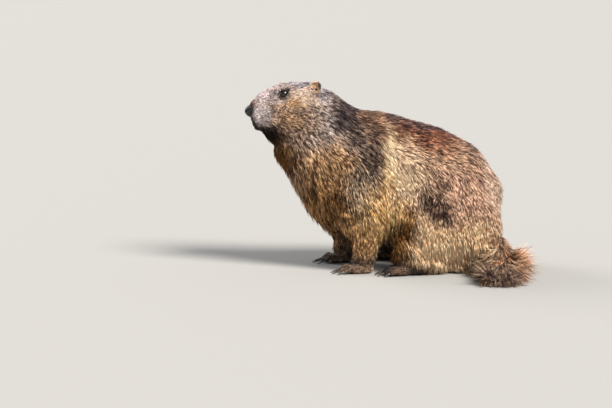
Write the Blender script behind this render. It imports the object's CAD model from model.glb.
"""Looks of a life-size alpine marmot: skin, coat, eyes, nose, ears, claws and whiskers.

Lengths are millimetres in the animal's own axes: it faces -X, its left side is -Y and the floor
is Z = 0. They become metres of the frame where a mesh is made.
"""

import math

import bpy
import numpy as np
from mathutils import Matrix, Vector
from mathutils.bvhtree import BVHTree
from mathutils.kdtree import KDTree


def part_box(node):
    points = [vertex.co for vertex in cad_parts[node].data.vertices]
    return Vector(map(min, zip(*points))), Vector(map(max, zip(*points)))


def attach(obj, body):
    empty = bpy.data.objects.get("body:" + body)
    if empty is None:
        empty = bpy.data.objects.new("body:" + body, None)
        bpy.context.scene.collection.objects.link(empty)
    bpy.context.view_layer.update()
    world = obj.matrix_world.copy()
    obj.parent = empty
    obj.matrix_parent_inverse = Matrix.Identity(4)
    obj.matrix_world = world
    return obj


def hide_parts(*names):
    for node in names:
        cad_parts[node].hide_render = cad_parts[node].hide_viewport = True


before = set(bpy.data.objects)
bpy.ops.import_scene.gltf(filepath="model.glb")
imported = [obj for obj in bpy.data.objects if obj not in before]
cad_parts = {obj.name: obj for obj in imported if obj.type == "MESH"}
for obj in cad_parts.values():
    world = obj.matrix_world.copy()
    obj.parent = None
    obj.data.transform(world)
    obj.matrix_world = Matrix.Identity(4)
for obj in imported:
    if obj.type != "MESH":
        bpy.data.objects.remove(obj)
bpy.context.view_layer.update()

MM = 0.001
LEFT, RIGHT = -1, 1
SIDE_NAMES = {LEFT: "left", RIGHT: "right"}

# The eye's centre in the animal's own axes ties them to the frame.
EYE_CENTRE = (-143.0, 20.6, 246.5)
EYE_RADIUS = 6.2

# Side outline of neck and trunk, from rump to nape: top x, z, bottom x, z and half width.
TRUNK_STATIONS = [
    (167, 58, 148, 6, 30),
    (165, 106, 124, -6, 56),
    (152, 143, 96, -10, 73),
    (123, 173, 64, -8, 82),
    (88, 192, 34, 4, 82),
    (50, 206, 2, 20, 76),
    (10, 217, -34, 36, 69),
    (-18, 223, -70, 50, 63),
    (-42, 227, -102, 74, 58),
    (-60, 237, -122, 108, 53),
    (-78, 250, -138, 136, 48),
    (-94, 256, -151, 157, 41),
    (-104, 248, -157, 170, 30),
    (-116, 236, -158, 180, 16),
]

# Side outline of the head, from nose to nape, in the same columns.
HEAD_STATIONS = [
    (-192, 229, -187, 207, 9),
    (-188, 235, -184, 200, 13.5),
    (-179, 245, -176, 195, 19),
    (-168, 252, -166, 185, 25),
    (-155, 258, -152, 174, 32),
    (-140, 262, -136, 163, 39),
    (-122, 264, -118, 154, 43),
    (-104, 262, -98, 150, 44),
    (-88, 254, -78, 150, 41),
]
TRUNK_EGG, HEAD_EGG = 0.10, 0.18

# Masses of muscle and cheek: centre with y for both sides, radii and a turn about Y in degrees.
MASSES = [
    ((62, 60, 64), (62, 36, 66), 14),
    ((100, 50, 58), (58, 42, 66), 0),
    ((34, 68, 32), (34, 24, 34), 0),
    ((-176.5, 10.5, 213.5), (12, 10, 11.5), 0),
    ((-145, 17, 252), (14, 8, 7), -10),
    ((-124, 28, 214), (26, 18, 26), 0),
    ((-106, 20, 246), (18, 13, 12), 0),
]
CHIN = ((-175, 0, 201), (11, 10, 7))
JAW = ((-156, 0, 190), (14, 15, 14))
SHOULDER = ((-42, 44, 128), (40, 25, 58), 14)
BREAST = ((-52, 40, 76), (20, 24, 38), -14)
FORELEG_Y = 50.0
FOREFOOT_STEP = {LEFT: 0.0, RIGHT: -15.0}
# The foreleg from shoulder to foot: x, share of the forefoot's step, z, half width and half depth.
FORELEG = [
    (-39, 0.8, 138, 16, 24),
    (-34, 1.0, 112, 22, 32),
    (-30, 1.7, 84, 23, 29),
    (-31, 1.8, 56, 19, 25),
    (-34, 1.1, 32, 15, 18),
    (-35, 1.0, 14, 12, 14),
]
# The tail from its root to its tip: x, y, z of the bone.
TAIL_PATH = [
    (136, 2, 40),
    (153, -16, 31),
    (160, -48, 20),
    (153, -86, 12.5),
    (143, -122, 10),
    (134, -150, 9),
]
TAIL_STEPS = 6
# Half width and half height of the tail's flesh, and from where to where its skin fades out.
TAIL_FLESH = (13.0, 10.0)
TAIL_FADE = (17, 26)
# How far the tail's hair stands off its length, in degrees, from the root to the tip.
FLARE_STOPS, FLARE_ANGLES = [0, 0.15, 0.35, 0.75, 1], [8, 20, 44, 38, 18]
# How far the tail's hair spreads in x, y and z, so that it lies flatter than it is broad.
TAIL_FAN = (1.1, 1.1, 0.2)

# Head landmarks, with y for both sides. A way points outwards, up or along the lids.
EYE_WAY, LID_WAY = (-0.28, 0.94, 0.16), (-1.0, 0.0, -0.42)
LID_OPENING = (5.9, 4.2)
LID_THICKNESS, LID_SPAN = 1.3, 13
EAR_CENTRE = (-100.5, 29.5, 253.5)
EAR_RADII = (7.4, 4.6, 7.8)
EAR_WAY, EAR_UP = (-0.46, 0.84, 0.28), (0.16, 0, 1.0)
EAR_RISE = {LEFT: 1.8, RIGHT: -2.0}
# The ear's section from the middle of its hollow to the middle of its back.
EAR_STOPS = [0.0, 0.2, 0.34, 0.43, 0.5, 0.56, 0.7, 0.85, 1.0]
EAR_REACH = [0.0, 0.46, 0.72, 0.86, 0.94, 1.0, 0.86, 0.5, 0.0]
EAR_DEPTH = [-0.5, -0.4, -0.12, 0.08, 0.2, 0.05, -0.5, -0.86, -1.0]
EAR_HOLLOW = 0.45
NOSE_CENTRE = (-186.4, 0.0, 221.8)
NOSE_RADII = (9.4, 9.0, 8.6)
# The head's hair fans out from here.
NOSE_TIP = (-196, 0, 226)
# The left nostril's curl, seen from the front from the nose's middle: across and up.
NOSTRIL = [(2.7, -1.2), (4.3, -0.4), (6.2, 1.4), (7.4, 3.2)]
# The mouth seen from the side: x and z.
MOUTH_LINE = [(-187, 201), (-180, 199), (-170, 199.5), (-160, 202), (-151, 206)]

# The skin: size of its grain, and how far it lies inside the coat, by the hair's length.
SKIN_VOXEL = 2.4
DEPTH_BY_LENGTH, MOST_DEPTH = 0.29, 5.0
# On the feet, in these soft ellipsoids, it lies this share less deep.
FEET = [((-56, 52, 8), (56, 40, 20)), ((14, 75, 8), (56, 34, 16))]
FEET_SHARE = 0.85
SWELL, SWELL_SIZE = 1.5, 24
SOLE_HEIGHT = 0.4
SEED = 11


def deselect_all():
    for obj in bpy.context.selected_objects:
        obj.select_set(False)


def pick(*objects):
    """Selects just these objects, the first as the active one."""
    deselect_all()
    for obj in objects:
        obj.select_set(True)
    bpy.context.view_layer.objects.active = objects[0]


def find_shift():
    """The frame's x and y where the animal's own axes have their origin, in millimetres."""
    low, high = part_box("eye_left")
    middle = (low + high) / 2 / MM
    return np.array([middle.x - EYE_CENTRE[0], middle.y + EYE_CENTRE[1], 0.0])


SHIFT = find_shift()


def place(x, y, z):
    """A point of the animal in the frame, in metres."""
    return Vector((x + SHIFT[0], y + SHIFT[1], z)) * MM


def in_frame(points):
    return (points + SHIFT) * MM


def from_frame(points):
    return points / MM - SHIFT


def on_side(point, side):
    """A point or a way given for both sides, on one of them."""
    x, y, z = point
    return np.array([x, side * y, z])


def ease(value, start, end):
    """0 before start, 1 past end, and a smooth rise between them."""
    share = np.clip((value - start) / (end - start), 0.0, 1.0)
    return share * share * (3 - 2 * share)


def unit(vectors):
    length = np.linalg.norm(vectors, axis=-1, keepdims=True)
    return vectors / np.maximum(length, 1e-9)


def mix(one, other, share):
    """The one value where a point's share is 0, the other where it is 1."""
    share = share[:, None]
    return np.array(one, float) * (1 - share) + np.array(other, float) * share


def ripple(points, size, seed):
    """Soft random waves from about -1 to 1, in lumps about this many millimetres across."""
    rng = np.random.RandomState(seed)
    total = np.zeros(len(points))
    for _ in range(8):
        way = unit(rng.normal(size=3))
        pace = math.pi / size * rng.uniform(0.6, 1.5)
        total += np.sin(points @ way * pace + rng.uniform(0, 2 * math.pi))
    return total / 2.8


def ripples(points, size, seeds):
    return np.stack([ripple(points, size, seed) for seed in seeds], axis=1)


def between_stations(rows, steps):
    """The rows, with a Catmull-Rom curve through them sampled steps times in each span."""
    made = []
    last = len(rows) - 1
    for i in range(last):
        around = [rows[max(i - 1, 0)], rows[i], rows[i + 1], rows[min(i + 2, last)]]
        for step in range(steps):
            t = step / steps
            made.append([
                0.5 * (2 * b + (c - a) * t + (2 * a - 5 * b + 4 * c - d) * t**2
                       + (3 * b - a - 3 * c + d) * t**3)
                for a, b, c, d in zip(*around)
            ])
    made.append(list(rows[last]))
    return made


def drawn_out(rows, name, sides=32, egg=0.0):
    """A form drawn out ring by ring. A row is x, y, z, lean, half width and half height."""
    deselect_all()
    bpy.ops.mesh.primitive_circle_add(
        vertices=sides, radius=1.0, fill_type="NGON", rotation=(0, math.pi / 2, 0)
    )
    made = bpy.context.object
    made.name = name
    bpy.ops.object.transform_apply(location=False, rotation=True, scale=False)
    for vert in made.data.vertices:
        vert.co.y *= 1 - egg * vert.co.z
    bpy.ops.object.mode_set(mode="EDIT")
    bpy.ops.mesh.select_all(action="SELECT")
    spot, lean, wide, high = Vector((0, 0, 0)), 0.0, 1.0 / MM, 1.0 / MM
    for i, (x, y, z, new_lean, new_wide, new_high) in enumerate(rows):
        new_spot = place(x, y, z)
        if i:
            bpy.ops.mesh.extrude_region_move()
        bpy.ops.transform.translate(value=new_spot - spot)
        bpy.ops.transform.rotate(value=lean, orient_axis="Y", center_override=new_spot)
        bpy.ops.transform.resize(
            value=(1, new_wide / wide, new_high / high), center_override=new_spot
        )
        bpy.ops.transform.rotate(value=-new_lean, orient_axis="Y", center_override=new_spot)
        spot, lean, wide, high = new_spot, new_lean, new_wide, new_high
    bpy.ops.mesh.select_all(action="SELECT")
    bpy.ops.mesh.normals_make_consistent(inside=False)
    bpy.ops.object.mode_set(mode="OBJECT")
    return made


def outline_form(stations, name, egg):
    """A length of the body whose side view runs through each station's top and bottom."""
    rows = []
    for top_x, top_z, low_x, low_z, wide in between_stations(stations, 3):
        across, up = top_x - low_x, top_z - low_z
        rows.append((
            (top_x + low_x) / 2, 0, (top_z + low_z) / 2,
            math.atan2(across, up), wide, math.hypot(across, up) / 2,
        ))
    return drawn_out(rows, name, sides=40, egg=egg)


def ball(centre, radii, name, turn=0.0, segments=24, rings=14):
    deselect_all()
    bpy.ops.mesh.primitive_uv_sphere_add(
        segments=segments, ring_count=rings, radius=1.0, location=place(*centre),
        rotation=(0, math.radians(turn), 0), scale=[radius * MM for radius in radii],
    )
    made = bpy.context.object
    made.name = name
    bpy.ops.object.transform_apply(location=True, rotation=True, scale=True)
    return made


def foreleg_form(side):
    rows = []
    step = FOREFOOT_STEP[side]
    path = between_stations(FORELEG, 3)
    for i, (x, step_share, z, wide, thick) in enumerate(path):
        after, before = path[min(i + 1, len(path) - 1)], path[max(i - 1, 0)]
        lean = math.atan2(before[2] - after[2], after[0] - before[0] + 1e-6)
        rows.append((x + step * step_share, side * FORELEG_Y, z, lean, wide, thick))
    return drawn_out(rows, f"foreleg_{SIDE_NAMES[side]}_form", sides=20)


def node_copy(name):
    """A merged copy of a CAD node, which stays as it is."""
    made = bpy.data.objects.new(f"{name}_copy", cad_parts[name].data.copy())
    bpy.context.scene.collection.objects.link(made)
    made.data.materials.clear()
    pick(made)
    bpy.ops.object.mode_set(mode="EDIT")
    bpy.ops.mesh.select_all(action="SELECT")
    bpy.ops.mesh.remove_doubles(threshold=0.00001)
    bpy.ops.object.mode_set(mode="OBJECT")
    return made


def flesh_forms():
    forms = [
        outline_form(TRUNK_STATIONS, "trunk_form", TRUNK_EGG),
        outline_form(HEAD_STATIONS, "skull_form", HEAD_EGG),
        ball(*CHIN, "chin_form"),
        ball(*JAW, "jaw_form"),
    ]
    for side in (LEFT, RIGHT):
        for centre, radii, turn in MASSES:
            forms.append(ball(on_side(centre, side), radii, "mass_form", turn))
        for ((x, y, z), radii, turn), share in ((SHOULDER, 0.5), (BREAST, 1.0)):
            x += FOREFOOT_STEP[side] * share
            forms.append(ball((x, side * y, z), radii, "shoulder_form", turn))
        forms.append(foreleg_form(side))
        for kind in ("forepaw", "hindfoot"):
            forms.append(node_copy(f"{kind}_{SIDE_NAMES[side]}"))
    wide, thick = TAIL_FLESH
    for x, y, z in between_stations(TAIL_PATH, 4):
        forms.append(ball((x, y, max(z, thick)), (wide, wide, thick), "tail_form"))
    return forms


def apply_modifiers(obj):
    pick(obj)
    for modifier in list(obj.modifiers):
        bpy.ops.object.modifier_apply(modifier=modifier.name)


def vectors_of(items, field):
    values = np.zeros(len(items) * 3, np.float32)
    items.foreach_get(field, values)
    return values.reshape(-1, 3).astype(float)


def points_of(mesh):
    return from_frame(vectors_of(mesh.vertices, "co"))


def normals_of(mesh):
    return vectors_of(mesh.vertex_normals, "vector")


def face_centres(mesh):
    return from_frame(vectors_of(mesh.polygons, "center"))


def set_points(mesh, points):
    mesh.vertices.foreach_set("co", in_frame(points).astype(np.float32).ravel())
    mesh.update()


def rgb(red, green, blue):
    """A colour as seen on screen, made linear."""
    made = []
    for value in (red, green, blue):
        value /= 255
        made.append(value / 12.92 if value <= 0.04045 else ((value + 0.055) / 1.055) ** 2.4)
    return made


# Markings, painted one over another: what it is, centre with y for both sides, radii, then the
# colour at the hair's root, of its light tips and of its dark tips, and the share of light tips.
# GRIZZLE lies under all of them.
GRIZZLE = (rgb(84, 66, 56), rgb(226, 188, 154), rgb(98, 74, 62), 0.5)
MARKINGS = [
    ("saddle", (24, 0, 190), (80, 78, 38), (52, 33, 29), (180, 114, 84), (82, 47, 39), 0.4),
    ("ridge", (60, 0, 210), (112, 40, 24), (42, 33, 34), (130, 102, 94), (56, 43, 42), 0.29),
    ("rump_top", (134, 0, 164), (40, 48, 30), (72, 56, 52), (206, 172, 154), (106, 82, 75), 0.48),
    ("haunch_upper", (112, 74, 118), (64, 54, 46), (104, 78, 68), (248, 206, 176), (134, 98, 82), 0.6),
    ("rump_edge", (170, 0, 94), (34, 100, 84), (192, 162, 142), (255, 236, 218), (234, 202, 180), 0.84),
    ("haunch_low", (92, 80, 34), (96, 56, 46), (190, 138, 100), (255, 230, 190), (236, 182, 132), 0.88),
    ("flank_pale", (24, 76, 150), (32, 50, 40), (108, 80, 62), (255, 224, 190), (136, 102, 78), 0.62),
    ("flank_dark", (55, 84, 104), (13, 45, 32), (40, 30, 28), (138, 110, 92), (58, 45, 40), 0.28),
    ("knee_front", (8, 76, 46), (18, 50, 38), (30, 17, 7), (98, 62, 28), (48, 29, 12), 0.28),
    ("strip_top", (1, 66, 160), (16, 60, 46), (222, 176, 126), (255, 240, 206), (255, 220, 174), 0.94),
    ("strip_low", (-5, 66, 112), (12, 60, 44), (176, 126, 76), (255, 222, 166), (232, 176, 112), 0.84),
    ("shoulder", (-42, 62, 150), (34, 50, 52), (56, 45, 42), (214, 188, 160), (74, 59, 54), 0.44),
    ("neck_side", (-92, 46, 200), (34, 44, 44), (82, 72, 71), (236, 219, 209), (96, 84, 82), 0.56),
    ("poll", (-88, 0, 250), (22, 40, 14), (88, 80, 82), (220, 208, 208), (108, 96, 98), 0.52),
    ("withers", (-24, 10, 212), (26, 60, 30), (56, 42, 37), (166, 130, 106), (74, 55, 48), 0.36),
    ("nape", (-60, 20, 212), (25, 60, 38), (35, 28, 30), (108, 92, 90), (46, 38, 40), 0.25),
    ("nape_low", (-44, 60, 178), (18, 40, 26), (46, 37, 35), (158, 136, 120), (60, 49, 46), 0.36),
    ("shoulder_dark", (-28, 66, 160), (17, 50, 28), (40, 32, 30), (142, 118, 100), (52, 41, 38), 0.28),
    ("neck_gold", (-88, 40, 152), (36, 50, 32), (86, 60, 42), (240, 196, 150), (110, 78, 54), 0.54),
    ("chest_low", (-86, 30, 96), (42, 50, 54), (52, 35, 20), (200, 152, 100), (82, 56, 34), 0.4),
    ("throat", (-139, 0, 170), (31, 38, 29), (52, 31, 10), (146, 98, 44), (70, 43, 16), 0.34),
    ("elbow", (-23, 62, 78), (24, 44, 34), (194, 138, 80), (255, 220, 154), (242, 184, 116), 0.86),
    ("fold", (16, 70, 76), (9, 60, 28), (66, 42, 20), (172, 122, 68), (86, 56, 28), 0.38),
    ("forearm", (-44, 52, 50), (24, 34, 34), (94, 66, 42), (232, 184, 130), (128, 94, 64), 0.5),
    ("armpit", (-54, 66, 100), (20, 40, 5), (30, 22, 20), (84, 64, 52), (38, 30, 26), 0.2),
    ("belly", (-10, 0, 36), (66, 34, 48), (36, 26, 18), (90, 64, 42), (50, 36, 26), 0.3),
    ("cheek", (-126, 38, 212), (30, 34, 30), (66, 52, 46), (194, 166, 144), (74, 58, 50), 0.45),
    ("cheek_tan", (-138, 38, 213), (17, 34, 12), (82, 63, 49), (206, 168, 134), (98, 75, 60), 0.46),
    ("crown", (-122, 0, 262), (52, 28, 16), (76, 69, 72), (194, 184, 189), (92, 84, 88), 0.54),
    ("forehead", (-154, 18, 246), (20, 20, 14), (78, 68, 66), (196, 180, 174), (88, 76, 74), 0.46),
    ("muzzle_top", (-174, 0, 244), (22, 20, 14), (112, 97, 97), (220, 202, 203), (108, 93, 93), 0.54),
    ("muzzle_side", (-177, 16, 218), (17, 20, 18), (126, 112, 110), (232, 220, 217), (112, 99, 97), 0.58),
    ("whisker_spots", (-160, 24, 226), (4, 20, 5), (50, 42, 40), (124, 108, 104), (60, 52, 50), 0.2),
    ("temple", (-120, 32, 245), (18, 18, 11), (142, 121, 104), (238, 216, 198), (166, 138, 118), 0.68),
    ("eye_streak", (-131, 34, 234), (15, 18, 5), (112, 84, 60), (204, 166, 124), (134, 102, 74), 0.5),
    ("chin", (-161, 0, 193), (21, 36, 13), (14, 10, 7), (46, 32, 21), (20, 14, 10), 0.2),
    ("nose_top", (-188, 0, 232), (8, 14, 5), (104, 72, 66), (170, 134, 126), (116, 82, 76), 0.45),
    ("lip_front", (-186, 0, 208), (8, 16, 12), (24, 19, 19), (60, 49, 47), (30, 25, 25), 0.2),
    ("wrist", (-50, 52, 14), (44, 40, 18), (66, 52, 44), (150, 124, 102), (80, 62, 52), 0.45),
    ("forepaw_toes", (-84, 52, 4), (24, 40, 10), (44, 38, 36), (92, 82, 76), (54, 46, 44), 0.35),
    ("hindfoot", (12, 75, 8), (46, 30, 17), (50, 40, 36), (120, 98, 84), (64, 52, 46), 0.4),
    ("hindfoot_toes", (-12, 75, 4), (16, 30, 10), (36, 31, 30), (80, 70, 66), (44, 38, 36), 0.35),
]

# The tail's colours along its length: share of the length, then as above.
TAIL_MARKINGS = [
    (0.00, rgb(70, 42, 24), rgb(168, 102, 52), rgb(96, 56, 32), 0.45),
    (0.22, rgb(42, 27, 18), rgb(124, 74, 40), rgb(62, 38, 24), 0.4),
    (0.45, rgb(32, 23, 20), rgb(94, 62, 44), rgb(48, 34, 28), 0.36),
    (0.70, rgb(33, 27, 27), rgb(90, 70, 64), rgb(52, 42, 40), 0.36),
    (1.00, rgb(38, 33, 36), rgb(94, 81, 86), rgb(56, 48, 52), 0.42),
]
TAIL_RUST = [*rgb(70, 33, 9), *rgb(172, 84, 20), *rgb(102, 49, 14), 0.46]
# The dark skin on lips, lids and round the nose.
EDGE_BLACK = rgb(34, 26, 24) * 3 + [0.2]
# How far the markings' edges wander, in small lumps and in broad ones.
SMALL_WANDER, BROAD_WANDER = 3.0, 10.0

# Length of the hair, painted in the same way.
BASE_LENGTH = 12.5
LENGTHS = [
    ("back", (60, 0, 205), (130, 60, 34), 10.5),
    ("haunch", (92, 78, 90), (84, 56, 66), 11.5),
    ("skirt", (88, 80, 30), (98, 60, 34), 17.0),
    ("neck", (-88, 0, 195), (48, 70, 66), 12.5),
    ("chest", (-100, 0, 110), (46, 44, 66), 18.0),
    ("elbow", (-18, 60, 80), (26, 50, 36), 20.0),
    ("forearm", (-48, 52, 44), (32, 40, 34), 13.0),
    ("head", (-128, 0, 226), (46, 70, 52), 7.0),
    ("throat", (-140, 0, 168), (34, 24, 24), 15.0),
    ("face", (-158, 0, 232), (36, 50, 34), 4.7),
    ("ear_base", (-102, 30, 250), (15, 16, 16), 5.2),
    ("muzzle", (-182, 0, 222), (22, 30, 28), 3.5),
    ("chin", (-172, 0, 197), (20, 20, 12), 4.6),
    ("lip_front", (-190, 0, 206), (9, 14, 12), 2.2),
    ("wrist", (-48, 52, 10), (46, 44, 17), 5.5),
    ("hindfoot", (8, 75, 8), (48, 34, 17), 4.4),
    ("forepaw_toes", (-84, 52, 4), (22, 40, 10), 2.4),
    ("hindfoot_toes", (-12, 75, 4), (16, 30, 10), 2.4),
]

# The way the hair lies, painted in the same way over that of the back and flank.
LIES = [
    ("neck", (-80, 0, 205), (44, 90, 60), (0.80, 0, -0.70)),
    ("chest", (-104, 0, 110), (50, 40, 70), (0.20, 0, -1.0)),
    ("elbow", (-18, 60, 84), (26, 60, 44), (0.34, 0, -0.95)),
    ("foreleg", (-46, 52, 44), (34, 50, 44), (0.06, 0, -1.0)),
    ("forepaw", (-62, 52, 6), (44, 44, 16), (-1.0, 0, -0.30)),
    ("haunch", (96, 80, 70), (84, 60, 66), (0.10, 0, -1.0)),
    ("hindfoot", (8, 75, 8), (48, 34, 17), (-1.0, 0, -0.25)),
]


def within(points, centre, radii, soft=0.46):
    """How far inside a soft ellipsoid on either side each point is, from 0 to 1."""
    both = points.copy()
    both[:, 1] = np.abs(both[:, 1])
    reach = np.linalg.norm((both - np.array(centre)) / np.array(radii), axis=1)
    return 1 - ease(reach, 1 - soft, 1 + soft)


def painted(points, base, rows):
    """The base value with each row's value painted over it inside the row's ellipsoid."""
    value = np.array(base, float)
    for _, centre, radii, new in rows:
        value = mix(value, new, within(points, centre, radii))
    return value


def tail_share(points):
    """How far along the tail each point lies, and its distance from the tail's bone."""
    path = np.array(between_stations(TAIL_PATH, TAIL_STEPS))
    gaps = np.linalg.norm(points[:, None, :] - path[None, :, :], axis=2)
    nearest = gaps.argmin(axis=1)
    return nearest / (len(path) - 1), gaps.min(axis=1)


def on_tail(points):
    """From 0 off the tail to 1 on it, and how far along it each point lies."""
    share, gap = tail_share(points)
    near = 1 - ease(gap, *TAIL_FADE)
    return near * ease(-points[:, 1], 4, 22) * ease(points[:, 0], 96, 112), share


def eye_frames():
    """Centre and axes (along the lids, outwards, up) of the left eye, then of the right."""
    made = []
    for side in (LEFT, RIGHT):
        out = unit(on_side(EYE_WAY, side))
        along = np.array(LID_WAY)
        along = unit(along - out * (along @ out))
        up = np.cross(along, out)
        made.append((on_side(EYE_CENTRE, side), along, out, up if up[2] > 0 else -up))
    return made


def lid_reach(across, up):
    """1 on the edge of the almond opening between the lids, less inside it."""
    wide, high = LID_OPENING
    return (np.abs(across / wide) ** 1.5 + np.abs(up / high) ** 1.9) ** (1 / 1.7)


def eye_reach(points):
    """The least lid reach of each point over both eyes, for points at the head's side."""
    least = np.full(len(points), 99.0)
    for centre, along, out, up in eye_frames():
        local = points - centre
        reach = lid_reach(local @ along, local @ up)
        least = np.where(local @ out > -4, np.minimum(least, reach), least)
    return least


def line_gap(flat, line):
    """Distance from each point of a flat view to a line of corners."""
    gap = np.full(len(flat), np.inf)
    for start, end in zip(np.array(line[:-1], float), np.array(line[1:], float)):
        along = end - start
        share = np.clip((flat - start) @ along / (along @ along), 0, 1)
        gap = np.minimum(gap, np.linalg.norm(flat - start - share[:, None] * along, axis=1))
    return gap


def mouth_gap(points):
    """Distance to the line of the lips, or to the cleft between nose and lips."""
    lips = line_gap(points[:, [0, 2]], between_stations(MOUTH_LINE, 3))
    cleft = np.where(points[:, 0] < -178, np.abs(points[:, 1]), 99)
    cleft = np.where((points[:, 2] > 200) & (points[:, 2] < 216), cleft, 99)
    return lips, cleft


def nose_reach(points):
    """1 on the nose pad's surface, more outside it."""
    return np.linalg.norm((points - np.array(NOSE_CENTRE)) / np.array(NOSE_RADII), axis=1)


def colours_at(points):
    """Root, light tip and dark tip colours and the share of light tips at each point."""
    small, broad = ripples(points, 9, (3, 4, 5)), ripples(points, 30, (6, 7, 8))
    moved = points + small * SMALL_WANDER * ease(points[:, 0], -190, -130)[:, None]
    moved += broad * BROAD_WANDER * ease(points[:, 0], -120, -60)[:, None]
    rows = [
        (name, centre, radii, (*rgb(*root), *rgb(*light), *rgb(*dark), share))
        for name, centre, radii, root, light, dark, share in MARKINGS
    ]
    root, light, dark, share = GRIZZLE
    value = painted(moved, (*root, *light, *dark, share), rows)
    tail, along = on_tail(points)
    stops = [row[0] for row in TAIL_MARKINGS]
    table = np.array([(*row[1], *row[2], *row[3], row[4]) for row in TAIL_MARKINGS])
    tail_value = np.stack([np.interp(along, stops, column) for column in table.T], axis=1)
    path_x = np.interp(points[:, 1], *np.array(TAIL_PATH)[::-1, [1, 0]].T)
    rusty = ease(points[:, 0] - path_x, -2, 11) * (1 - ease(along, 0.6, 0.85))
    value = mix(value, mix(tail_value, TAIL_RUST, rusty), tail)
    lips, cleft = mouth_gap(points)
    dark_line = 1 - ease(np.minimum(lips + 0.4, cleft), 1.4, 2.6)
    dark_line = np.maximum(dark_line, 1 - ease(eye_reach(points), 1.14, 1.5))
    dark_line = np.maximum(dark_line, 1 - ease(nose_reach(points), 1.15, 1.5))
    value = mix(value, EDGE_BLACK, dark_line)
    return value[:, 0:3], value[:, 3:6], value[:, 6:9], value[:, 9]


def length_at(points):
    """The length of the hair at each point, off the tail."""
    return painted(points, [BASE_LENGTH], [(*row[:3], [row[3]]) for row in LENGTHS])[:, 0]


def select_faces(obj, chosen):
    """Enters edit mode with just these faces selected."""
    mesh = obj.data
    mesh.polygons.foreach_set("select", chosen)
    mesh.edges.foreach_set("select", np.zeros(len(mesh.edges), bool))
    mesh.vertices.foreach_set("select", np.zeros(len(mesh.vertices), bool))
    pick(obj)
    bpy.ops.object.mode_set(mode="EDIT")
    bpy.ops.mesh.select_mode(type="FACE")


def refine(obj, chosen):
    select_faces(obj, chosen)
    bpy.ops.mesh.subdivide(number_cuts=1)
    bpy.ops.object.mode_set(mode="OBJECT")


def eye_gap(points):
    """Distance of each point from the nearer eye's centre."""
    gaps = [np.linalg.norm(points - centre, axis=1) for centre, *_ in eye_frames()]
    return np.min(gaps, axis=0)


def shape_face(skin):
    """Raises the lids round the eyes and presses in the line of the mouth."""
    points, normals = points_of(skin.data), normals_of(skin.data)
    for centre, along, out, up in eye_frames():
        local = points - centre
        across, high, height = local @ along, local @ up, local @ out
        radius = np.hypot(across, high)
        near = (radius < LID_SPAN) & (height > -7) & (normals @ out > -0.1)
        slope = np.cos(np.minimum(radius / LID_SPAN, 1) * math.pi / 2)
        mound = (EYE_RADIUS + LID_THICKNESS) * slope
        lidded = np.maximum(height, mound - 0.4)
        ball_height = np.sqrt(np.maximum(EYE_RADIUS**2 - radius**2, 0))
        inside = 1 - ease(lid_reach(across, high), 0.90, 1.06)
        target = lidded * (1 - inside) + np.minimum(lidded, ball_height - 2.0) * inside
        points = points + out * ((target - height) * near)[:, None]
    lips, cleft = mouth_gap(points)
    front = np.abs(normals[:, 1]) + np.maximum(-normals[:, 0], 0) > 0.4
    depth = 1.5 * np.exp(-((lips / 0.9) ** 2)) * front + 0.9 * np.exp(-((cleft / 0.8) ** 2))
    set_points(skin.data, points - normals * depth[:, None])


def swell_body(skin):
    """Low, soft swells of loose skin over the body, clear of head, feet and tail."""
    points, normals = points_of(skin.data), normals_of(skin.data)
    share = ease(points[:, 0], -112, -80) * ease(points[:, 2], 24, 46) * (1 - on_tail(points)[0])
    swell = SWELL * ripple(points, SWELL_SIZE, 51) * share
    set_points(skin.data, points + normals * swell[:, None])


def coat_depth(points):
    """How far the skin lies inside the coat's outer form."""
    depth = np.minimum(DEPTH_BY_LENGTH * length_at(points), MOST_DEPTH)
    return depth * (1 - on_tail(points)[0])


def make_skin():
    """One skin: the forms fused, softened, drawn in by the coat's depth and cut at the floor."""
    pick(*flesh_forms())
    bpy.ops.object.join()
    skin = bpy.context.object
    skin.name = "skin"
    skin.data.name = "skin"
    remesh = skin.modifiers.new("fuse", "REMESH")
    remesh.mode = "VOXEL"
    remesh.voxel_size = SKIN_VOXEL * MM
    soften = skin.modifiers.new("soften", "SMOOTH")
    soften.factor = 0.5
    soften.iterations = 6
    apply_modifiers(skin)
    points = points_of(skin.data)
    feet = np.max([within(points, *foot) for foot in FEET], axis=0)
    depth = coat_depth(points) * (1 - FEET_SHARE * feet)
    group = skin.vertex_groups.new(name="coat_depth")
    deepest = depth.max()
    for i, share in enumerate(depth / deepest):
        group.add([i], share, "REPLACE")
    inset = skin.modifiers.new("inset", "DISPLACE")
    inset.vertex_group = group.name
    inset.mid_level = 0.0
    inset.strength = -deepest * MM
    apply_modifiers(skin)
    pick(skin)
    bpy.ops.object.mode_set(mode="EDIT")
    bpy.ops.mesh.select_all(action="SELECT")
    bpy.ops.mesh.bisect(
        plane_co=(0, 0, SOLE_HEIGHT * MM), plane_no=(0, 0, 1), use_fill=True, clear_inner=True
    )
    bpy.ops.object.mode_set(mode="OBJECT")
    centres = face_centres(skin.data)
    refine(skin, (centres[:, 0] < -126) & (centres[:, 2] > 180))
    centres = face_centres(skin.data)
    lips, cleft = mouth_gap(centres)
    near_lids = eye_gap(centres) < LID_SPAN + 0.5
    near_lips = (lips < 3.5) & (centres[:, 0] < -145)
    refine(skin, near_lids | near_lips | (cleft < 3))
    shape_face(skin)
    swell_body(skin)
    pick(skin)
    bpy.ops.object.shade_smooth()
    return skin


def new_finish(name, roughness):
    """A new material, its nodes and links, and its shader."""
    made = bpy.data.materials.new(name)
    made.use_nodes = True
    nodes, links = made.node_tree.nodes, made.node_tree.links
    shader = nodes["Principled BSDF"]
    shader.inputs["Roughness"].default_value = roughness
    return made, nodes, links, shader


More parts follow.
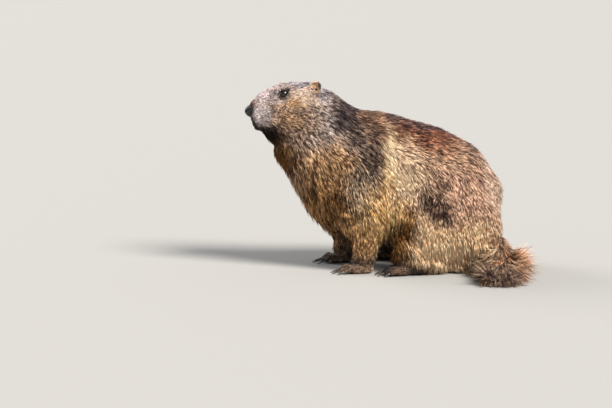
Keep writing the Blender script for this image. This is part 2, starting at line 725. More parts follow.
def raise_grain(nodes, links, height, bump):
    """A bump this many millimetres high from a pattern."""
    raised = nodes.new("ShaderNodeBump")
    raised.inputs["Distance"].default_value = bump * MM
    links.new(height, raised.inputs["Height"])
    links.new(raised.outputs["Normal"], nodes["Principled BSDF"].inputs["Normal"])


def attribute_material(name, attribute, roughness, specular, bump, scale,
                       detail=4.0, tones=(0.78, 1.22)):
    """A finish whose colour is painted on the mesh, broken up by fine grain and bump."""
    made, nodes, links, shader = new_finish(name, roughness)
    shader.inputs["Specular IOR Level"].default_value = specular
    colour = nodes.new("ShaderNodeAttribute")
    colour.attribute_name = attribute
    place_at = nodes.new("ShaderNodeTexCoord")
    noise = nodes.new("ShaderNodeTexNoise")
    noise.inputs["Scale"].default_value = scale
    noise.inputs["Detail"].default_value = detail
    links.new(place_at.outputs["Object"], noise.inputs["Vector"])
    tone = nodes.new("ShaderNodeMapRange")
    tone.inputs["To Min"].default_value = tones[0]
    tone.inputs["To Max"].default_value = tones[1]
    links.new(noise.outputs["Fac"], tone.inputs["Value"])
    mixed = nodes.new("ShaderNodeVectorMath")
    mixed.operation = "SCALE"
    links.new(colour.outputs["Color"], mixed.inputs[0])
    links.new(tone.outputs["Result"], mixed.inputs["Scale"])
    links.new(mixed.outputs["Vector"], shader.inputs["Base Color"])
    if bump:
        raise_grain(nodes, links, noise.outputs["Fac"], bump)
    return made


def eye_material():
    """A brown and black eye under a wet coat."""
    made = attribute_material("wet_eye", "eye_colour", 0.25, 0.25, 0.0, 1600.0, 2.0, (0.6, 1.4))
    shader = made.node_tree.nodes["Principled BSDF"]
    shader.inputs["Coat Weight"].default_value = 0.8
    shader.inputs["Coat Roughness"].default_value = 0.03
    return made


def plain_material(name, colour, roughness, bump, scale, coat):
    """Horn and leather finishes: one colour in two tones, with a fine bump and a thin gloss."""
    made, nodes, links, shader = new_finish(name, roughness)
    shader.inputs["Coat Weight"].default_value = coat
    shader.inputs["Coat Roughness"].default_value = 0.05
    place_at = nodes.new("ShaderNodeTexCoord")
    grain = nodes.new("ShaderNodeTexVoronoi")
    grain.inputs["Scale"].default_value = scale
    links.new(place_at.outputs["Object"], grain.inputs["Vector"])
    ramp = nodes.new("ShaderNodeValToRGB")
    ramp.color_ramp.elements[0].color = (*[c * 0.6 for c in colour], 1)
    ramp.color_ramp.elements[1].color = (*[c * 1.5 for c in colour], 1)
    links.new(grain.outputs["Distance"], ramp.inputs["Fac"])
    links.new(ramp.outputs["Color"], shader.inputs["Base Color"])
    raise_grain(nodes, links, grain.outputs["Distance"], bump)
    return made


def paint(mesh, name, colours):
    layer = mesh.attributes.new(name, "FLOAT_COLOR", "POINT")
    full = np.ones((len(colours), 4), np.float32)
    full[:, :3] = colours
    layer.data.foreach_set("color", full.ravel())


def finish_skin(skin):
    """Paints the skin in the colours of the hair on it, mostly the roots', and a little darker."""
    root, light, dark, share = colours_at(points_of(skin.data))
    tone = (root * 0.7 + mix(dark, light, share) * 0.3) * 0.8
    paint(skin.data, "skin_colour", tone)
    skin.data.materials.clear()
    skin.data.materials.append(
        attribute_material("skin_hide", "skin_colour", 0.75, 0.3, 0.3, 700.0)
    )


class Surface:
    """Triangles of a mesh with what the coat needs to grow on them."""

    def __init__(self, obj):
        mesh = obj.data
        mesh.calc_loop_triangles()
        corners = np.zeros(len(mesh.loop_triangles) * 3, np.int32)
        mesh.loop_triangles.foreach_get("vertices", corners)
        self.corners = corners.reshape(-1, 3)
        self.points = points_of(mesh)
        self.normals = normals_of(mesh)
        a, b, c = (self.points[self.corners[:, i]] for i in range(3))
        cross = np.cross(b - a, c - a)
        self.areas = np.linalg.norm(cross, axis=1) / 2
        self.centres = (a + b + c) / 3
        self.facing = unit(cross)


def roots_on(surface, weight, count, rng):
    """Places spread over the triangles, as many as count, by area times weight."""
    total = np.cumsum(surface.areas * weight)
    ticks = (np.arange(count) + rng.uniform(size=count)) / count * total[-1]
    index = np.minimum(np.searchsorted(total, ticks), len(total) - 1)
    first, second = rng.uniform(size=count), rng.uniform(size=count)
    over = first + second > 1
    first[over], second[over] = 1 - first[over], 1 - second[over]
    share = np.stack([1 - first - second, first, second], axis=1)[:, :, None]
    corners = surface.corners[index]
    points = (surface.points[corners] * share).sum(axis=1)
    normals = unit((surface.normals[corners] * share).sum(axis=1))
    return points, normals


def tail_lie(points, along_share):
    """The way the tail's hair points: along its bone, and flaring out from it."""
    path = np.array(between_stations(TAIL_PATH, TAIL_STEPS))
    index = np.minimum((along_share * (len(path) - 1)).astype(int), len(path) - 2)
    along = unit(path[np.minimum(index + 1, len(path) - 1)] - path[np.maximum(index - 1, 0)])
    out = points - path[index]
    out = unit(out - along * (out * along).sum(axis=1, keepdims=True))
    flare = np.radians(np.interp(along_share, FLARE_STOPS, FLARE_ANGLES))[:, None]
    return along * np.cos(flare) + out * np.array(TAIL_FAN) * np.sin(flare)


def body_lie(points, normals):
    """The way the hair points at each root, before it is laid on the skin."""
    top = ease(normals[:, 2], 0.1, 0.85)
    rear = ease(normals[:, 0], 0.3, 0.9)
    backwards = (0.42 + 0.62 * top) * (1 - 0.8 * rear)
    way = np.stack([backwards, np.zeros(len(points)), -(1.0 - 0.72 * top)], axis=1)
    value = painted(points, way, LIES)
    head = ease(-points[:, 0], 92, 122) * ease(points[:, 2], 176, 200)
    from_nose = unit(points - np.array(NOSE_TIP)) + np.array([0, 0, -0.12])
    value = mix(value, from_nose, head)
    for centre, *_ in eye_frames():
        local = points - centre
        radius = np.linalg.norm(local, axis=1)
        share = (1 - ease(radius, 7, 16))[:, None]
        value = value * (1 - 0.7 * share) + unit(local) * 0.7 * share
    tail, along_share = on_tail(points)
    if tail.any():
        value = mix(value, tail_lie(points, along_share), tail)
    sway = ripples(points, 16, (21, 22, 23)) * 0.16
    return unit(value) + sway * ease(length_at(points), 3, 14)[:, None]


def bare(points, normals):
    """Places without hair: between the lids, on the lips' edges, nose and soles."""
    lips, cleft = mouth_gap(points)
    mouth = (lips < 0.9) | (cleft < 1.3)
    soles = (points[:, 2] < 3.0) & (normals[:, 2] < -0.4)
    return (eye_reach(points) < 1.15) | mouth | (nose_reach(points) < 1.05) | soles


# A tuft: how deep its root sits, its width up its length, how it droops and how low it may lie.
ROOT_DEPTH = 0.5
TUFT_WIDTHS = (0.85, 1.0, 0.72, 0.5)
DROOP = 0.10
LOWEST = 0.5
# Some tufts stray from their clump: how many, how much longer and how much higher they stand.
STRAY_SHARE, STRAY_LENGTH, STRAY_LIFT = 0.08, 1.12, 0.16
# The shade of the roots, and the brightest that any hair may be.
ROOT_SHADE = 0.75
BRIGHTEST = 0.94
# The half width of a tuft's own patch of the unwrap.
PATCH = 0.003
# How many faces tell whether they all point outwards.
FACES_TESTED = 600


def grow(name, roots, normals, way, length, width, lift, pull, clump_size, colours, rng, uvs,
         rings=2):
    """One coat piece: closed, tapering tufts, gathered a little into clumps.

    lift is the angle off the skin in radians, and pull the share by which the tips gather.
    """
    count = len(roots)
    leaders = rng.choice(count, max(count // clump_size, 1), replace=False)
    tree = KDTree(len(leaders))
    for i, leader in enumerate(leaders):
        tree.insert(roots[leader], i)
    tree.balance()
    mine = np.array([leaders[tree.find(root)[1]] for root in roots])
    stray = rng.uniform(size=count) < STRAY_SHARE * ease(length, 3, 12)
    ragged = np.exp(0.12 * rng.normal(size=count))[mine]
    length = length * np.where(stray, STRAY_LENGTH, ragged)
    lift = lift + np.where(stray, STRAY_LIFT, 0.05 * rng.normal(size=count)[mine])
    pull = np.where(stray, 0.0, pull)
    lie = unit(way - normals * (way * normals).sum(axis=1, keepdims=True))
    spread = rng.normal(size=(count, 1)) * 0.10 + (rng.normal(size=count) * 0.13)[mine, None]
    side_way = np.cross(normals, lie)
    lie = unit(lie + side_way * spread)
    shares = np.linspace(0, 1, rings + 1)
    steps = [roots - normals * ROOT_DEPTH]
    for k in range(rings):
        middle = (shares[k] + shares[k + 1]) / 2
        angle = lift * (1.25 - 1.05 * middle)
        run = length * (shares[k + 1] - shares[k])
        ahead = lie * np.cos(angle)[:, None] + normals * np.sin(angle)[:, None]
        ahead = unit(ahead + np.array([0, 0, -DROOP]) * middle)
        steps.append(steps[-1] + ahead * run[:, None])
    gather = (steps[-1][mine] - steps[-1]) * pull[:, None]
    too_far = np.linalg.norm(gather, axis=1) / np.maximum(length * 0.4, 0.1)
    gather /= np.maximum(too_far, 1)[:, None]
    for k in range(1, rings + 1):
        steps[k] = steps[k] + gather * shares[k] ** 1.4
    across = unit(np.cross(lie, normals))
    turn = rng.uniform(-0.5, 0.5, size=(count, 1))
    flat = across * np.cos(turn) + normals * np.sin(turn)
    raised = np.cross(flat, lie)
    raised *= np.sign((raised * normals).sum(axis=1, keepdims=True))
    points, tints, patch = [], [], []
    root, light, dark, share = colours
    clump_tone = rng.normal(size=count)[mine]
    pale = rng.uniform(size=count) < np.clip(share + 0.34 * clump_tone, 0.02, 0.98)
    banded = rng.uniform(size=count) < 0.3
    tone = 0.22 * clump_tone + 0.17 * rng.normal(size=count) + 0.15 * ripple(roots, 10, 31)
    tone = np.exp(tone)[:, None]
    tip = np.where(pale[:, None], light, dark) * tone
    band = np.where((pale | banded)[:, None], light, dark) * tone
    for k in range(rings):
        size = width * TUFT_WIDTHS[k] * 0.5
        for offset in (flat * size[:, None], raised * size[:, None] * 0.8, -flat * size[:, None]):
            points.append(steps[k] + offset)
        blend = min(1.0, 0.45 + shares[k] * 0.6)
        shade = root * (1 - blend) + band * blend if k else root * ROOT_SHADE
        for drift in (-0.5, 0.0, 0.5):
            tints.append(shade)
            patch.append(uvs + np.array([drift, shares[k]]) * PATCH)
    points.append(steps[rings])
    tints.append(tip)
    patch.append(uvs + np.array([0.0, 1.0]) * PATCH)
    verts = np.stack(points, axis=1).reshape(-1, 3)
    verts[:, 2] = np.maximum(verts[:, 2], LOWEST)
    tints = np.stack(tints, axis=1).reshape(-1, 3)
    patch = np.stack(patch, axis=1).reshape(-1, 2)
    faces = [(0, 1, 2)]
    for k in range(rings - 1):
        for i in range(3):
            j = (i + 1) % 3
            a, b, c, d = 3 * k + i, 3 * k + j, 3 * k + 3 + i, 3 * k + 3 + j
            faces += [(a, c, b), (b, c, d)]
    top = 3 * (rings - 1)
    for i in range(3):
        faces.append((top + i, 3 * rings, top + (i + 1) % 3))
    faces = np.array(faces)
    per_tuft = 3 * rings + 1
    corners = (faces[None] + (np.arange(count) * per_tuft)[:, None, None]).reshape(-1, 3)
    return tuft_mesh(name, verts, corners, tints, patch)


def tuft_mesh(name, verts, corners, tints, patch):
    """The tufts as an object, with faces outwards, colour and bake layout."""
    some = verts[corners[:FACES_TESTED]]
    shifted = some - some.mean(axis=(0, 1))
    volume = (shifted[:, 0] * np.cross(shifted[:, 1], shifted[:, 2])).sum()
    if volume < 0:
        corners = corners[:, ::-1]
    mesh = bpy.data.meshes.new(name)
    mesh.vertices.add(len(verts))
    mesh.vertices.foreach_set("co", in_frame(verts).astype(np.float32).ravel())
    mesh.loops.add(corners.size)
    mesh.loops.foreach_set("vertex_index", corners.astype(np.int32).ravel())
    mesh.polygons.add(len(corners))
    mesh.polygons.foreach_set("loop_start", (np.arange(len(corners)) * 3).astype(np.int32))
    mesh.update(calc_edges=True)
    mesh.polygons.foreach_set("use_smooth", np.ones(len(corners), bool))
    layer = mesh.uv_layers.new(name="OFBake")
    layer.data.foreach_set("uv", patch[corners.ravel()].astype(np.float32).ravel())
    peak = tints.max(axis=1, keepdims=True)
    paint(mesh, "coat_colour", tints / np.maximum(peak / BRIGHTEST, 1))
    made = bpy.data.objects.new(name, mesh)
    bpy.context.scene.collection.objects.link(made)
    return made


UNWRAP_FACES = 3000


def unwrap(surface, chosen):
    """Gives each point near the chosen triangles its place on a flat unwrap of them."""
    index = np.unique(surface.corners[chosen])
    lookup = np.full(len(surface.points), -1)
    lookup[index] = np.arange(len(index))
    mesh = bpy.data.meshes.new("unwrap")
    mesh.from_pydata(
        in_frame(surface.points[index]).tolist(), [], lookup[surface.corners[chosen]].tolist()
    )
    obj = bpy.data.objects.new("unwrap", mesh)
    bpy.context.scene.collection.objects.link(obj)
    if len(mesh.polygons) > UNWRAP_FACES:
        thin = obj.modifiers.new("thin", "DECIMATE")
        thin.ratio = UNWRAP_FACES / len(mesh.polygons)
        apply_modifiers(obj)
    pick(obj)
    bpy.ops.object.mode_set(mode="EDIT")
    bpy.ops.mesh.select_all(action="SELECT")
    bpy.ops.uv.smart_project(angle_limit=math.radians(66), island_margin=0.004)
    bpy.ops.object.mode_set(mode="OBJECT")
    mesh = obj.data
    mesh.calc_loop_triangles()
    triangles = [tuple(t.loops) for t in mesh.loop_triangles]
    corners = [tuple(t.vertices) for t in mesh.loop_triangles]
    uv = np.zeros(len(mesh.loops) * 2, np.float32)
    mesh.uv_layers.active.data.foreach_get("uv", uv)
    uv = uv.reshape(-1, 2)
    coords = [vert.co.copy() for vert in mesh.vertices]
    tree = BVHTree.FromPolygons(coords, corners)
    bpy.data.objects.remove(obj)

    def look_up(points):
        made = np.zeros((len(points), 2))
        for i, point in enumerate(in_frame(points)):
            hit, _, face, _ = tree.find_nearest(Vector(point))
            a, b, c = (coords[v] for v in corners[face])
            area = (b - a).cross(c - a)
            scale = max(area.length_squared, 1e-20)
            v = (hit - a).cross(c - a).dot(area) / scale
            w = (b - a).cross(hit - a).dot(area) / scale
            ua, ub, uc = (uv[loop] for loop in triangles[face])
            made[i] = ua * (1 - v - w) + ub * v + uc * w
        return made * (1 - 2 * PATCH) + PATCH

    return look_up


# The planes behind head, neck and chest that part the coat: a point and the way backwards.
HEAD_PLANE = ((-80.0, 0.0, 250.0), (0.84, 0.0, -0.55))
NECK_PLANE = ((-44.0, 0.0, 226.0), (0.81, 0.0, -0.585))
CHEST_PLANE = ((6.0, 0.0, 220.0), (1.0, 0.0, -0.06))
FACE_X, MUZZLE_X = -134, -158
# The coat of a leg: centre with y for both sides, radii, and how soft its edge is.
FORELEG_COAT = ((-44, 94, 58), (50, 66, 106), 0.01)
HAUNCH_COAT = ((70, 100, 60), (86, 64, 90), 0.01)


def regions_of(centres):
    """The coat piece that each triangle of the skin belongs to."""
    def behind(plane):
        return (centres - np.array(plane[0])) @ np.array(plane[1]) > 0

    tail = on_tail(centres)[0] > 0.5
    head = ~behind(HEAD_PLANE)
    neck = behind(HEAD_PLANE) & ~behind(NECK_PLANE)
    left = centres[:, 1] < 0
    leg = within(centres, *FORELEG_COAT) > 0.5
    haunch = within(centres, *HAUNCH_COAT) > 0.5
    feet = (centres[:, 2] < 20) & (np.abs(centres[:, 1]) > 30)
    feet &= (centres[:, 0] < -20) | ((centres[:, 0] < 40) & (np.abs(centres[:, 1]) > 56))
    names = np.full(len(centres), "coat_trunk_right", dtype=object)
    names[left] = "coat_trunk_left"
    names[~behind(CHEST_PLANE)] = "coat_chest"
    for region, word in ((haunch, "coat_haunch"), (leg, "coat_foreleg")):
        names[region & left] = word + "_left"
        names[region & ~left] = word + "_right"
    names[neck] = "coat_neck"
    names[head] = "coat_poll"
    names[head & (centres[:, 0] < FACE_X)] = "coat_face"
    names[head & (centres[:, 0] < MUZZLE_X)] = "coat_muzzle"
    names[feet & ~head & ~neck] = "coat_feet"
    names[tail] = "coat_tail"
    return names


# The coat pieces in the order they grow: tufts for each square millimetre of skin, and slot.
COATS = {
    "coat_muzzle": (1.15, "coat_grey"),
    "coat_face": (1.08, "coat_grey"),
    "coat_poll": (0.88, "coat_grey"),
    "coat_neck": (0.74, "coat_grizzled"),
    "coat_chest": (0.55, "coat_grizzled"),
    "coat_trunk_left": (0.54, "coat_grizzled"),
    "coat_trunk_right": (0.54, "coat_grizzled"),
    "coat_haunch_left": (0.64, "coat_gold"),
    "coat_haunch_right": (0.64, "coat_gold"),
    "coat_foreleg_left": (0.70, "coat_gold"),
    "coat_foreleg_right": (0.70, "coat_gold"),
    "coat_feet": (0.58, "paw"),
    "coat_tail": (2.3, "tail_brush"),
}
# A tuft has 10 faces, so this keeps a piece under 200,000 triangles.
MOST_TUFTS = 19500
# Length of the tail's hair along it.
TAIL_STOPS, TAIL_LENGTHS = [0.0, 0.15, 0.35, 0.8, 1.0], [18.0, 32.0, 52.0, 54.0, 38.0]
# Lift of the hair in degrees: of the shortest and for each millimetre more, up to the last value,
# then on the tail's side and what the tail's end adds.
SHORT_LIFT, LIFT_BY_LENGTH, LIFTED_LENGTH = 11, 0.6, 16
TAIL_LIFT, TAIL_END_LIFT = 9.0, 66.0
# The throat's hair stands off more, by this many radians.
RUFF, RUFF_LIFT = ((-132, 0, 150), (44, 40, 56)), 0.20
CLUMP, TAIL_CLUMP = 4, 7
# Width of a tuft by its length, and of the long ones.
THIN, WIDTH_BY_LENGTH, LONG_WIDTH = 0.38, 0.030, 0.68
HIDDEN_SHARE = 0.3


def hidden_faces(surface):
    """The faces that look down near the floor or lie between the legs."""
    x, y, z = surface.centres.T
    downwards = (surface.facing[:, 2] < -0.35) & (z < 70)
    return downwards | ((np.abs(y) < 40) & (z < 60) & (x > -60) & (x < 60))


def closeness(points):
    """How much closer together the hair grows: where it is short, and round eyes and ears."""
    closer = np.clip(9.0 / length_at(points), 1.0, 2.2)
    for side in (LEFT, RIGHT):
        for centre, start, end in ((EYE_CENTRE, 12, 30), (EAR_CENTRE, 10, 26)):
            gap = np.linalg.norm(points - on_side(centre, side), axis=1)
            closer *= 1 + 0.7 * (1 - ease(gap, start, end))
    return closer


def grow_coat(skin, finish):
    surface = Surface(skin)
    names = regions_of(surface.centres)
    shown = np.where(hidden_faces(surface), HIDDEN_SHARE, 1.0)
    closer = closeness(surface.centres)
    for number, (name, (density, slot)) in enumerate(COATS.items()):
        rng = np.random.RandomState(SEED + number)
        weight = np.where(names == name, 1.0, 0.0) * shown * closer
        count = min(int((surface.areas * weight).sum() * density), MOST_TUFTS)
        roots, normals = roots_on(surface, weight, count, rng)
        keep = ~bare(roots, normals)
        roots, normals = roots[keep], normals[keep]
        uvs = unwrap(surface, names == name)(roots)
        length = length_at(roots)
        lift = np.radians(SHORT_LIFT + LIFT_BY_LENGTH * np.minimum(length, LIFTED_LENGTH))
        pull = ease(length, 3, 16) * 0.5
        clump = CLUMP
        if name == "coat_tail":
            length = np.interp(tail_share(roots)[0], TAIL_STOPS, TAIL_LENGTHS)
            path = np.array(TAIL_PATH)
            end_on = normals @ unit(path[-1] - path[-2])
            lift = np.radians(TAIL_LIFT + TAIL_END_LIFT * ease(end_on, 0.3, 0.95))
            pull = np.full(len(roots), 0.25)
            clump = TAIL_CLUMP
        lift = lift * (1 - 0.45 * ease(length, 20, 27))
        lift += RUFF_LIFT * within(roots, *RUFF)
        length = length * rng.uniform(0.72, 1.18, size=len(roots))
        width = np.where(length < 24, THIN + WIDTH_BY_LENGTH * length, LONG_WIDTH)
        mixed = roots + rng.normal(size=roots.shape) * (0.26 * length + 0.3)[:, None]
        coat = grow(name, roots, normals, body_lie(roots, normals), length, width, lift, pull,
                    clump, colours_at(mixed), rng, uvs)
        coat.data.materials.append(finish)
        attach(coat, "root")


EYE_RIM, IRIS, PUPIL = rgb(12, 9, 8), rgb(26, 17, 12), rgb(6, 5, 5)


def make_eye(side, finish):
    """A wet, dark eyeball with a brown iris and a black pupil."""
    centre, _, out, _ = eye_frames()[0 if side == LEFT else 1]
    eye = ball(centre, (EYE_RADIUS + 0.1,) * 3, f"eyeball_{SIDE_NAMES[side]}", 0, 48, 32)
    points = points_of(eye.data)
    facing = unit(points - centre) @ out
    colour = mix(EYE_RIM, IRIS, ease(facing, 0.55, 0.70))
    paint(eye.data, "eye_colour", mix(colour, PUPIL, ease(facing, 0.86, 0.90)))
    bpy.ops.object.shade_smooth()
    eye.data.materials.append(finish)
    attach(eye, "root")
    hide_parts(f"eye_{SIDE_NAMES[side]}")


def make_nose():
    """The naked nose pad, broad above, with comma-shaped nostrils and a cleft."""
    nose = ball(NOSE_CENTRE, NOSE_RADII, "nose_pad", 12, 64, 44)
    points = points_of(nose.data)
    local = points - np.array(NOSE_CENTRE)
    local[:, 1] *= 1 + 0.16 * local[:, 2] / NOSE_RADII[2]
    gap = line_gap(np.stack([np.abs(local[:, 1]), local[:, 2]], axis=1), NOSTRIL)
    front = local[:, 0] < 0.5
    local[:, 0] += 3.6 * np.exp(-((gap / 1.15) ** 2)) * front
    local[:, 0] -= 0.5 * np.exp(-(((gap - 2.2) / 0.9) ** 2)) * front
    cleft = np.exp(-((local[:, 1] / 0.55) ** 2)) * ease(-local[:, 2], 0.5, 3.0) * front
    local[:, 0] += 1.1 * cleft
    set_points(nose.data, np.array(NOSE_CENTRE) + local)
    pick(nose)
    bpy.ops.object.shade_smooth()
    nose.data.materials.append(
        plain_material("nose_leather", rgb(20, 16, 16), 0.48, 0.25, 1500.0, 0.12)
    )
    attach(nose, "root")
    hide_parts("nose")


EAR_HOLE, EAR_SKIN = rgb(24, 16, 14), rgb(150, 116, 90)
# The ear's hair in front and behind: root, light tips and dark tips.
EAR_FRONT = (rgb(132, 98, 72), rgb(232, 202, 172), rgb(170, 136, 108))
EAR_REAR = (rgb(50, 38, 34), rgb(104, 86, 76), rgb(60, 47, 43))
EAR_DENSITY, EAR_HAIR, EAR_CLUMP = 3.6, (2.0, 3.4), 8


def hole_gap(points, centre, out, up):
    """Distance in the plane of the ear from its small dark hole."""
    local = points - centre + up * 2.4
    return np.linalg.norm(local - np.outer(local @ out, out), axis=1)


def in_order(mesh, mirrored):
    """The same mesh with its faces in a fixed order, which a new sphere's don't have."""
    faces = []
    for face in mesh.polygons:
        corners = list(face.vertices)[:: -1 if mirrored else 1]
        start = corners.index(min(corners))
        faces.append(corners[start:] + corners[:start])
    made = bpy.data.meshes.new(mesh.name)
    made.from_pydata([vert.co.copy() for vert in mesh.vertices], [], sorted(faces))
    return made


def make_ear(side):
    """A small round ear, hollowed towards its opening, and the short hair on it."""
    centre = on_side(EAR_CENTRE, side) + np.array([0, 0, EAR_RISE[side]])
    out = unit(on_side(EAR_WAY, side))
    up = np.array(EAR_UP)
    up = unit(up - out * (up @ out))
    back = np.cross(up, out)
    mirrored = back[0] < 0
    back = -back if mirrored else back
    ear = ball(centre, (1, 1, 1), f"ear_shell_{SIDE_NAMES[side]}", 0, 40, 28)
    local = points_of(ear.data) - centre
    bearing = np.arctan2(local[:, 0], local[:, 1])
    polar = np.arccos(np.clip(local[:, 2], -1, 1)) / math.pi
    reach = np.interp(polar, EAR_STOPS, EAR_REACH)
    depth = np.interp(polar, EAR_STOPS, EAR_DEPTH)
    a, b, c = EAR_RADII
    shaped = (
        centre
        + np.outer(reach * np.sin(bearing) * a, back)
        + np.outer(reach * np.cos(bearing) * c, up)
        + np.outer(depth * b, out)
    )
    set_points(ear.data, shaped)
    ear.data = in_order(ear.data, mirrored)
    pick(ear)
    bpy.ops.object.shade_smooth()
    rim = ease(hole_gap(points_of(ear.data), centre, out, up), 1.6, 3.0)
    share = np.where(polar < EAR_HOLLOW, rim, 1.0)
    paint(ear.data, "skin_colour", mix(EAR_HOLE, EAR_SKIN, share))
    ear.data.materials.append(bpy.data.materials["skin_hide"])
    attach(ear, "root")
    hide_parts(f"ear_{SIDE_NAMES[side]}")
    return ear, centre, out, up


def grow_ear_hair(ears, finish):
    """Short hair all over the ears but for their holes."""
    for number, (ear, centre, out, up) in enumerate(ears):
        rng = np.random.RandomState(SEED + 40 + number)
        surface = Surface(ear)
        facing = surface.facing @ out
        cup = (facing > 0.2) & ((surface.centres - centre) @ out < 1.4)
        open_hole = cup & (hole_gap(surface.centres, centre, out, up) < 1.7)
        weight = np.where(open_hole, 0.0, 1.0)
        count = int((surface.areas * weight).sum() * EAR_DENSITY)
        roots, normals = roots_on(surface, weight, count, rng)
        uvs = unwrap(surface, np.ones(len(surface.corners), bool))(roots)
        from_base = unit(roots - (centre - out * 6 - up * 4)) + np.array([0.5, 0, 0])
        length = rng.uniform(*EAR_HAIR, size=len(roots))
        rear = ease((roots - centre) @ np.array([1.0, 0, 0.1]), 2.0, 5.5)
        colours = [mix(front, back, rear) for front, back in zip(EAR_FRONT, EAR_REAR)]
        colours.append(np.full(len(roots), 0.55))
        name = ear.name.replace("ear_shell", "coat_ear")
        lift = np.radians(np.full(len(roots), 26.0))
        coat = grow(name, roots, normals, from_base, length, 0.26 + 0.05 * length, lift,
                    np.full(len(roots), 0.2), EAR_CLUMP, colours, rng, uvs)
        coat.data.materials.append(finish)
        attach(coat, "root")


def make_claws():
    """Smoothed horn claws, one for each claw of the model."""
    horn = plain_material("claw_horn", rgb(58, 50, 46), 0.35, 0.05, 2200.0, 0.3)
    for name in sorted(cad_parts):
        if not name.startswith("claw_"):
            continue
        claw = node_copy(name)
        claw.name = name.replace("claw_", "horn_")
        rounded = claw.modifiers.new("rounded", "SUBSURF")
        rounded.levels = rounded.render_levels = 2
        apply_modifiers(claw)
        bpy.ops.object.shade_smooth()
        claw.data.materials.clear()
        claw.data.materials.append(horn)
        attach(claw, "root")
        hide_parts(name)


# Whiskers: heights of their rows, how many in each, where a row starts and its step backwards.
WHISKER_ROWS, WHISKERS_IN_ROW = (208, 213, 218, 223), 4
WHISKER_START, WHISKER_STEP = -183, 4.4
WHISKER_LENGTHS, WHISKER_WIDTH, WHISKER_LIFT = (20, 38), 0.42, 40.0


def make_whiskers(skin, finish):
    """Fine curved whiskers from the pads beside the nose."""
    rng = np.random.RandomState(SEED + 60)
    mesh = skin.data
    tree = BVHTree.FromPolygons([v.co.copy() for v in mesh.vertices],
                                [tuple(p.vertices) for p in mesh.polygons])
    roots, normals, ways, lengths = [], [], [], []
    for side in (LEFT, RIGHT):
        for row, z in enumerate(WHISKER_ROWS):
            for k in range(WHISKERS_IN_ROW):
                x = WHISKER_START + WHISKER_STEP * k + row * 0.6
                hit, normal, _, _ = tree.find_nearest(place(x, side * 40, z))
                if hit is None:
                    continue
                roots.append(from_frame(np.array(hit)))
                normals.append(np.array(normal))
                ways.append(np.array([0.75, side * 0.75, -0.25 + 0.14 * row]))
                lengths.append(rng.uniform(*WHISKER_LENGTHS))
    roots, normals, ways = np.array(roots), np.array(normals), np.array(ways)
    lengths = np.array(lengths)
    tone = np.tile(np.array(rgb(50, 42, 40)), (len(roots), 1))
    colours = (tone, tone * 3.0, tone, np.full(len(roots), 0.3))
    uvs = rng.uniform(0.1, 0.9, size=(len(roots), 2))
    width = np.full(len(roots), WHISKER_WIDTH)
    lift = np.radians(np.full(len(roots), WHISKER_LIFT))
    whiskers = grow("whiskers", roots, normals, ways, lengths, width, lift,
                    np.zeros(len(roots)), 1, colours, rng, uvs, rings=4)
    whiskers.data.materials.append(finish)
    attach(whiskers, "root")


FLOOR_COLOUR = (0.36, 0.355, 0.345, 1)


def make_floor():
    deselect_all()
    bpy.ops.mesh.primitive_plane_add(size=60.0, location=(0, 0, 0))
    floor = bpy.context.object
    floor.name = "floor"
    pale, _, _, shader = new_finish("floor_pale", 0.9)
    shader.inputs["Base Color"].default_value = FLOOR_COLOUR
    floor.data.materials.append(pale)


# Soft lamps: the way to each from the animal, its strength, its spread in degrees and its colour.
LAMPS = {
    "key": ((0.42, -0.60, 0.68), 6.2, 22, (1.0, 0.95, 0.88)),
    "rim": ((-0.70, 0.60, 0.48), 1.8, 30, (1.0, 0.96, 0.90)),
}
SKY_COLOUR, SKY_STRENGTH = (0.90, 0.94, 1.0, 1), 0.5


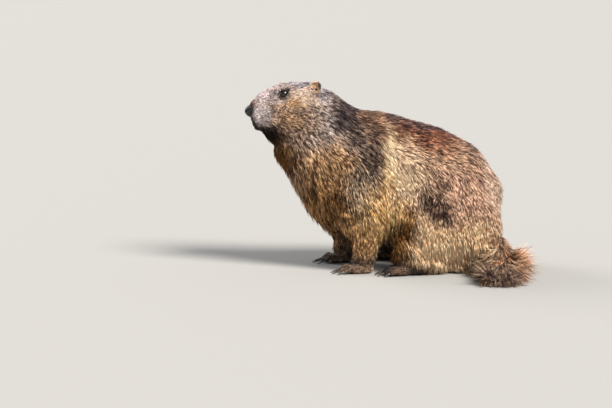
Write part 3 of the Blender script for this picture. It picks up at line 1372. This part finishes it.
def make_lights():
    scene = bpy.context.scene
    world = bpy.data.worlds.new("studio")
    scene.world = world
    world.use_nodes = True
    sky = world.node_tree.nodes["Background"]
    sky.inputs["Color"].default_value = SKY_COLOUR
    sky.inputs["Strength"].default_value = SKY_STRENGTH
    for name, (way, strength, spread, colour) in LAMPS.items():
        light = bpy.data.lights.new(name, "SUN")
        light.energy = strength
        light.angle = math.radians(spread)
        light.color = colour
        lamp = bpy.data.objects.new(name, light)
        scene.collection.objects.link(lamp)
        lamp.location = Vector(way) * 3
        lamp.rotation_euler = (-Vector(way)).to_track_quat("-Z", "Y").to_euler()
    scene.view_settings.view_transform = "Standard"


# The photo's camera: how it stands to the animal, and the picture's scale.
CAMERA_AZIMUTH, CAMERA_ELEVATION, CAMERA_DISTANCE = -6.0, 7.0, 2.6
PHOTO_WIDTH, PHOTO_MM_PER_PIXEL = 612, 1.4
CAMERA_TARGET = (-110.6, 0.0, 91.0)
SENSOR_WIDTH = 36.0


def make_camera():
    lens = bpy.data.cameras.new("camera")
    lens.sensor_width = SENSOR_WIDTH
    lens.lens = SENSOR_WIDTH * CAMERA_DISTANCE / (PHOTO_WIDTH * PHOTO_MM_PER_PIXEL * MM)
    camera = bpy.data.objects.new("camera", lens)
    bpy.context.scene.collection.objects.link(camera)
    turn, rise = math.radians(CAMERA_AZIMUTH), math.radians(CAMERA_ELEVATION)
    back = Vector((
        math.sin(turn) * math.cos(rise), -math.cos(turn) * math.cos(rise), math.sin(rise)
    ))
    camera.location = place(*CAMERA_TARGET) + back * CAMERA_DISTANCE
    camera.rotation_euler = (-back).to_track_quat("-Z", "Y").to_euler()
    bpy.context.scene.camera = camera


make_camera()
make_floor()
make_lights()
skin = make_skin()
finish_skin(skin)
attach(skin, "root")
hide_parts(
    "head", "jaw", "neck", "chest", "torso", "tail",
    *[f"{kind}_{word}" for kind in ("haunch", "foreleg", "forepaw", "hindfoot")
      for word in ("left", "right")],
)
coat_finish = attribute_material("coat_hair", "coat_colour", 0.72, 0.12, 0.0, 500.0)
eye_finish = eye_material()
grow_coat(skin, coat_finish)
grow_ear_hair([make_ear(side) for side in (LEFT, RIGHT)], coat_finish)
for side in (LEFT, RIGHT):
    make_eye(side, eye_finish)
make_nose()
make_claws()
make_whiskers(skin, coat_finish)
